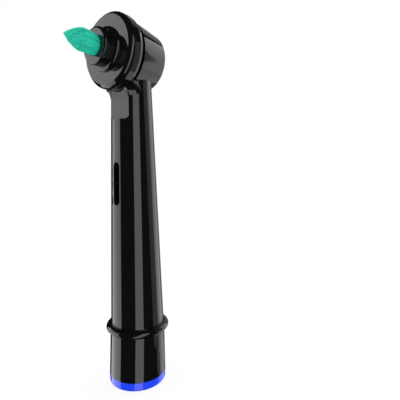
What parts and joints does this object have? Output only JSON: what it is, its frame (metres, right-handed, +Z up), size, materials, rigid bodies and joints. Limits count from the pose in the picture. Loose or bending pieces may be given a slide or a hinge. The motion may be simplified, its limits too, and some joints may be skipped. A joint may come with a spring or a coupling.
{
  "type": "electric toothbrush head",
  "caption": "Interdental electric toothbrush head: tapered gloss neck with collar bead and coloured foot ring, oscillating disc with a pointed bristle tuft, driven by a crank inside the neck.",
  "frame": {"origin": "centre of the foot's lower face, on the axis of the handle socket", "axes": "+Z up the neck towards the head, -Y the way the tuft points, +X across the head"},
  "size_m": [0.0158, 0.0258, 0.0831],
  "materials": {
    "black_shell": "polished",
    "black_carrier": "polished",
    "blue_ring": "polished",
    "grey_liner": "moulded satin",
    "white_acetal": "moulded satin",
    "steel": "drawn wire",
    "green_nylon": "extruded bristle",
    "anchor_metal": "cut strip"
  },
  "bodies": {
    "housing": {"neck_shell": "black_shell", "base_ring": "blue_ring", "socket_sleeve": "grey_liner", "axle_pin": "steel"},
    "drive": {"drive_coupling": "white_acetal", "clip_spring": "steel", "drive_rod": "steel"},
    "carrier": {"tip_carrier": "black_carrier", "bristle_tuft": "green_nylon", "tuft_anchor": "anchor_metal"}
  },
  "joints": [
    {"name": "coupling_turn", "type": "hinge", "parent": "housing", "child": "drive", "pos_m": [0, 0, 0.0133], "axis": [0, 0, 1], "range_deg": [-28, 28]},
    {"name": "carrier_turn", "type": "hinge", "parent": "housing", "child": "carrier", "pos_m": [0, 0, 0.0752], "axis": [0, -1, 0], "range_deg": [-23.4, 23.4]}
  ],
  "couplings": [
    {"joint": "carrier_turn", "follows": "coupling_turn", "ratio": 0.835}
  ]
}
